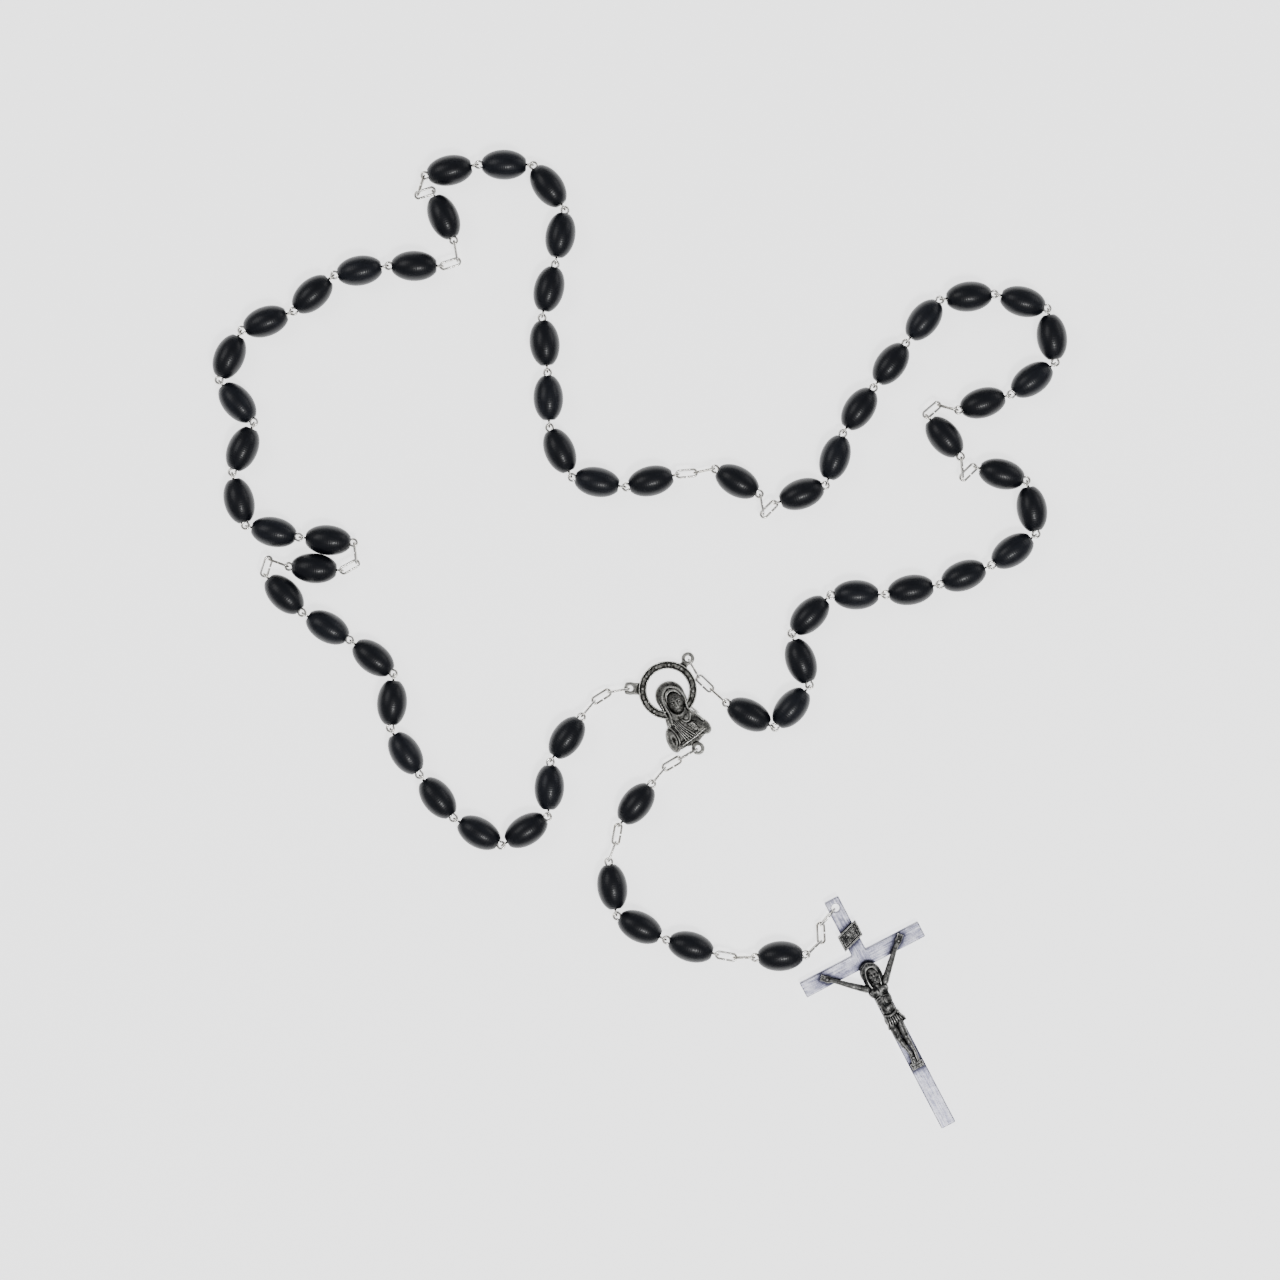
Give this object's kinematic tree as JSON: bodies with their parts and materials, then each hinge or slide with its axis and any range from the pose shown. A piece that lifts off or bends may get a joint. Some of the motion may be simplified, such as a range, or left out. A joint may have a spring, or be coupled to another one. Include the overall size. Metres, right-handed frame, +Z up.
{
  "type": "rosary",
  "caption": "Rosary of black turned wooden beads on silver wire pins, with a starred ring centrepiece and a metal crucifix on a pendant, laid out flat.",
  "frame": {"origin": "bottom centre of the whole rosary as it lies flat", "axes": "+Z up from the surface it lies on, +Y towards the far end of the loop, away from the crucifix"},
  "size_m": [0.1636, 0.1878, 0.0058],
  "materials": {
    "bead_wood": "satin",
    "wire_nickel": "polished",
    "antique_silver": "satin",
    "satin_silver": "satin",
    "dark_silver": "satin"
  },
  "bodies": {
    "centrepiece": {"centrepiece": "antique_silver"},
    "left_chain": {"left_chain": "wire_nickel"},
    "right_chain": {"right_chain": "wire_nickel"},
    "pendant_chain": {"pendant_chain": "wire_nickel"},
    "crucifix_chain": {"crucifix_chain": "wire_nickel"},
    "crucifix_ring": {"crucifix_ring": "wire_nickel"},
    "crucifix": {"cross": "satin_silver", "corpus": "dark_silver", "title_plaque": "satin_silver", "foot_rest": "dark_silver"},
    "decade_1a": {"decade_1_beads_a": "bead_wood", "decade_1_pins_a": "wire_nickel"},
    "decade_1b": {"decade_1_beads_b": "bead_wood", "decade_1_pins_b": "wire_nickel"},
    "decade_1c": {"decade_1_beads_c": "bead_wood", "decade_1_pins_c": "wire_nickel"},
    "our_father_1": {"our_father_1": "bead_wood", "our_father_1_wire": "wire_nickel"},
    "pendant_1": {"pendant_bead_1": "bead_wood", "pendant_wire_1": "wire_nickel"},
    "decade_2a": {"decade_2_beads_a": "bead_wood", "decade_2_pins_a": "wire_nickel"},
    "decade_2b": {"decade_2_beads_b": "bead_wood", "decade_2_pins_b": "wire_nickel"},
    "decade_2c": {"decade_2_beads_c": "bead_wood", "decade_2_pins_c": "wire_nickel"},
    "our_father_2": {"our_father_2": "bead_wood", "our_father_2_wire": "wire_nickel"},
    "pendant_2": {"pendant_bead_2": "bead_wood", "pendant_wire_2": "wire_nickel"},
    "decade_3a": {"decade_3_beads_a": "bead_wood", "decade_3_pins_a": "wire_nickel"},
    "decade_3b": {"decade_3_beads_b": "bead_wood", "decade_3_pins_b": "wire_nickel"},
    "decade_3c": {"decade_3_beads_c": "bead_wood", "decade_3_pins_c": "wire_nickel"},
    "our_father_3": {"our_father_3": "bead_wood", "our_father_3_wire": "wire_nickel"},
    "pendant_3": {"pendant_bead_3": "bead_wood", "pendant_wire_3": "wire_nickel"},
    "decade_4a": {"decade_4_beads_a": "bead_wood", "decade_4_pins_a": "wire_nickel"},
    "decade_4b": {"decade_4_beads_b": "bead_wood", "decade_4_pins_b": "wire_nickel"},
    "decade_4c": {"decade_4_beads_c": "bead_wood", "decade_4_pins_c": "wire_nickel"},
    "our_father_4": {"our_father_4": "bead_wood", "our_father_4_wire": "wire_nickel"},
    "pendant_4": {"pendant_bead_4": "bead_wood", "pendant_wire_4": "wire_nickel"},
    "decade_5a": {"decade_5_beads_a": "bead_wood", "decade_5_pins_a": "wire_nickel"},
    "decade_5b": {"decade_5_beads_b": "bead_wood", "decade_5_pins_b": "wire_nickel"},
    "decade_5c": {"decade_5_beads_c": "bead_wood", "decade_5_pins_c": "wire_nickel"},
    "pendant_5": {"pendant_bead_5": "bead_wood", "pendant_wire_5": "wire_nickel"}
  },
  "joints": [
    {"name": "left_chain_lift", "type": "hinge", "parent": "centrepiece", "child": "left_chain", "pos_m": [-0.00274, -0.00946, 0.00145], "axis": [0.1736, -0.9848, 0], "range_deg": [-45, 45]},
    {"name": "decade_1a_lift", "type": "hinge", "parent": "left_chain", "child": "decade_1a", "pos_m": [-0.0108, -0.01421, 0.0029], "axis": [-0.8196, 0.573, 0], "range_deg": [-45, 45]},
    {"name": "decade_1b_lift", "type": "hinge", "parent": "decade_1a", "child": "decade_1b", "pos_m": [-0.026, -0.03908, 0.0029], "axis": [-0.494, -0.8694, 0], "range_deg": [-35, 35]},
    {"name": "decade_1c_lift", "type": "hinge", "parent": "decade_1b", "child": "decade_1c", "pos_m": [-0.04717, -0.00706, 0.0029], "axis": [0.6103, 0.7922, 0], "range_deg": [-35, 35]},
    {"name": "our_father_1_lift", "type": "hinge", "parent": "decade_1c", "child": "our_father_1", "pos_m": [-0.07161, 0.01226, 0.0029], "axis": [-0.9512, 0.3086, 0], "range_deg": [-25, 25]},
    {"name": "decade_2a_lift", "type": "hinge", "parent": "our_father_1", "child": "decade_2a", "pos_m": [-0.05468, 0.01803, 0.0029], "axis": [0.0982, 0.9952, 0], "range_deg": [-25, 25]},
    {"name": "decade_2b_lift", "type": "hinge", "parent": "decade_2a", "child": "decade_2b", "pos_m": [-0.07802, 0.0315, 0.0029], "axis": [-0.9138, 0.4062, 0], "range_deg": [-45, 45]},
    {"name": "decade_2c_lift", "type": "hinge", "parent": "decade_2b", "child": "decade_2c", "pos_m": [-0.06699, 0.0627, 0.0029], "axis": [0.6675, -0.7446, 0], "range_deg": [-45, 45]},
    {"name": "our_father_2_lift", "type": "hinge", "parent": "decade_2c", "child": "our_father_2", "pos_m": [-0.03823, 0.07162, 0.0029], "axis": [-0.3074, 0.9516, 0], "range_deg": [-45, 45]},
    {"name": "decade_3a_lift", "type": "hinge", "parent": "our_father_2", "child": "decade_3a", "pos_m": [-0.04154, 0.08839, 0.0029], "axis": [0.2028, -0.9792, 0], "range_deg": [-25, 25]},
    {"name": "decade_3b_lift", "type": "hinge", "parent": "decade_3a", "child": "decade_3b", "pos_m": [-0.01468, 0.08289, 0.0029], "axis": [0.9844, -0.1758, 0], "range_deg": [-45, 45]},
    {"name": "decade_3c_lift", "type": "hinge", "parent": "decade_3b", "child": "decade_3c", "pos_m": [-0.0174, 0.04134, 0.0029], "axis": [-0.9158, -0.4017, 0], "range_deg": [-45, 45]},
    {"name": "right_chain_lift", "type": "hinge", "parent": "centrepiece", "child": "right_chain", "pos_m": [0.00966, -0.00432, 0.00145], "axis": [0.866, 0.5, 0], "range_deg": [-45, 45]},
    {"name": "decade_5c_lift", "type": "hinge", "parent": "right_chain", "child": "decade_5c", "pos_m": [0.01602, -0.01161, 0.0029], "axis": [0.4634, 0.8861, 0], "range_deg": [-45, 45]},
    {"name": "decade_5b_lift", "type": "hinge", "parent": "decade_5c", "child": "decade_5b", "pos_m": [0.02915, 0.00061, 0.0029], "axis": [0.7085, -0.7058, 0], "range_deg": [-35, 35]},
    {"name": "decade_5a_lift", "type": "hinge", "parent": "decade_5b", "child": "decade_5a", "pos_m": [0.06671, 0.01406, 0.0029], "axis": [-0.5618, 0.8273, 0], "range_deg": [-45, 45]},
    {"name": "our_father_4_lift", "type": "hinge", "parent": "decade_5a", "child": "our_father_4", "pos_m": [0.06447, 0.03302, 0.0029], "axis": [-0.7066, 0.7076, 0], "range_deg": [-30, 30]},
    {"name": "decade_4c_lift", "type": "hinge", "parent": "our_father_4", "child": "decade_4c", "pos_m": [0.06033, 0.04415, 0.0029], "axis": [-0.2803, 0.9599, 0], "range_deg": [-45, 45]},
    {"name": "decade_4b_lift", "type": "hinge", "parent": "decade_4c", "child": "decade_4b", "pos_m": [0.07823, 0.0629, 0.0029], "axis": [0.2652, 0.9642, 0], "range_deg": [-25, 25]},
    {"name": "decade_4a_lift", "type": "hinge", "parent": "decade_4b", "child": "decade_4a", "pos_m": [0.0451, 0.04883, 0.0029], "axis": [0.8287, -0.5597, 0], "range_deg": [-45, 45]},
    {"name": "our_father_3_lift", "type": "hinge", "parent": "decade_4a", "child": "our_father_3", "pos_m": [0.02622, 0.02627, 0.0029], "axis": [-0.7066, 0.7076, 0], "range_deg": [-45, 45]},
    {"name": "pendant_chain_lift", "type": "hinge", "parent": "centrepiece", "child": "pendant_chain", "pos_m": [0.01038, -0.02124, 0.00145], "axis": [0.5, -0.866, 0], "range_deg": [-45, 45]},
    {"name": "pendant_1_sway", "type": "hinge", "parent": "pendant_chain", "child": "pendant_1", "pos_m": [0.00235, -0.02742, 0.00297], "axis": [0, 0, 1], "range_deg": [-20, 20]},
    {"name": "pendant_2_lift", "type": "hinge", "parent": "pendant_1", "child": "pendant_2", "pos_m": [-0.00583, -0.04184, 0.0029], "axis": [-0.9903, -0.1392, 0], "range_deg": [-60, 60]},
    {"name": "pendant_3_sway", "type": "hinge", "parent": "pendant_2", "child": "pendant_3", "pos_m": [-0.00454, -0.05277, 0.0029], "axis": [0, 0, -1], "range_deg": [-20, 20]},
    {"name": "pendant_4_lift", "type": "hinge", "parent": "pendant_3", "child": "pendant_4", "pos_m": [0.00447, -0.05716, 0.0029], "axis": [0.2756, 0.9613, 0], "range_deg": [-60, 60]},
    {"name": "pendant_5_sway", "type": "hinge", "parent": "pendant_4", "child": "pendant_5", "pos_m": [0.01507, -0.06029, 0.0029], "axis": [0, 0, 1], "range_deg": [-20, 20]},
    {"name": "crucifix_chain_lift", "type": "hinge", "parent": "pendant_5", "child": "crucifix_chain", "pos_m": [0.03232, -0.05992, 0.0029], "axis": [0.682, -0.7314, 0], "range_deg": [-45, 45]},
    {"name": "crucifix_ring_sway", "type": "hinge", "parent": "crucifix_chain", "child": "crucifix_ring", "pos_m": [0.03466, -0.05477, 0.00155], "axis": [0, 0, -1], "range_deg": [-30, 10]},
    {"name": "crucifix_lift", "type": "hinge", "parent": "crucifix_ring", "child": "crucifix", "pos_m": [0.03733, -0.0516, 0.00155], "axis": [0.887, 0.4617, 0], "range_deg": [-10, 10]}
  ]
}
